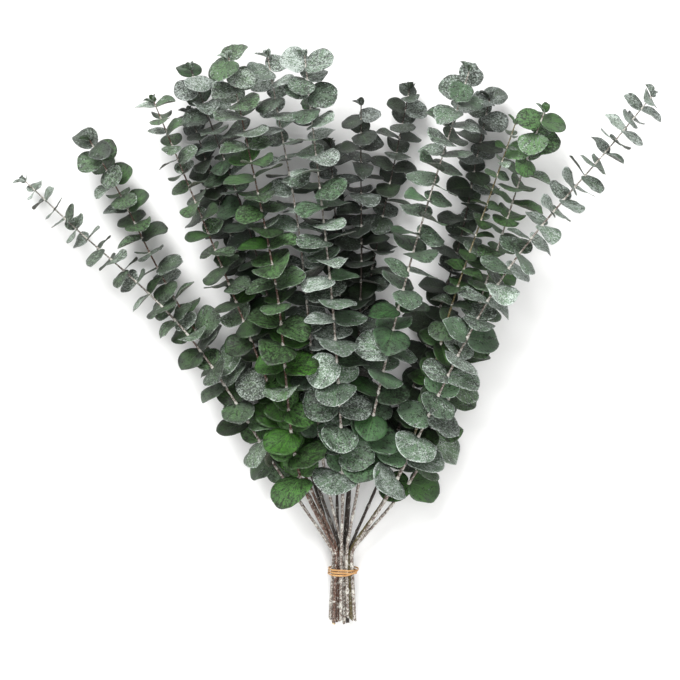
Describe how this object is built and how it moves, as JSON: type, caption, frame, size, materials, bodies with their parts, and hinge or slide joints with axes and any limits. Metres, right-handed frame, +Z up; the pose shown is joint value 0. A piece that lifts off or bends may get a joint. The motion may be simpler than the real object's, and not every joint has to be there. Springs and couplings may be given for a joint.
{
  "type": "bunch of dried eucalyptus",
  "caption": "Bunch of dried silver-dollar eucalyptus lying down: leafy sprigs fan out from bare stalks bound by a rubber band.",
  "frame": {"origin": "on the surface the bunch lies on, under the middle of its bounding box", "axes": "+X across the fan of sprigs, +Y along the bunch from the cut ends towards the tips, +Z up from the surface"},
  "size_m": [0.5788, 0.5256, 0.1074],
  "materials": {
    "leaf_sage": "dull dried leaf, grey-green under a thick whitish bloom",
    "leaf_green": "dull dried leaf, strong green with a thin speckled bloom",
    "leaf_deep": "dull dried leaf, dark grey-green",
    "stem_pale": "thin twig dusted white over brown",
    "stem_brown": "thin red-brown twig",
    "stem_olive": "thin olive-yellow twig",
    "stem_dark": "thin twig, almost black",
    "rubber": "plain tan rubber band, slightly shiny"
  },
  "bodies": {
    "root": {"sprig_01": "leaf_green", "sprig_02": "leaf_green", "sprig_03": "leaf_green", "sprig_04": "leaf_deep", "sprig_05": "leaf_sage", "sprig_06": "leaf_green", "sprig_07": "leaf_sage", "sprig_08": "leaf_deep", "sprig_09": "leaf_sage", "sprig_10": "leaf_deep", "sprig_11": "leaf_deep", "sprig_12": "leaf_sage", "sprig_13": "leaf_deep", "sprig_14": "leaf_green", "sprig_15": "leaf_green", "sprig_16": "leaf_sage", "rubber_band": "rubber"}
  },
  "joints": []
}
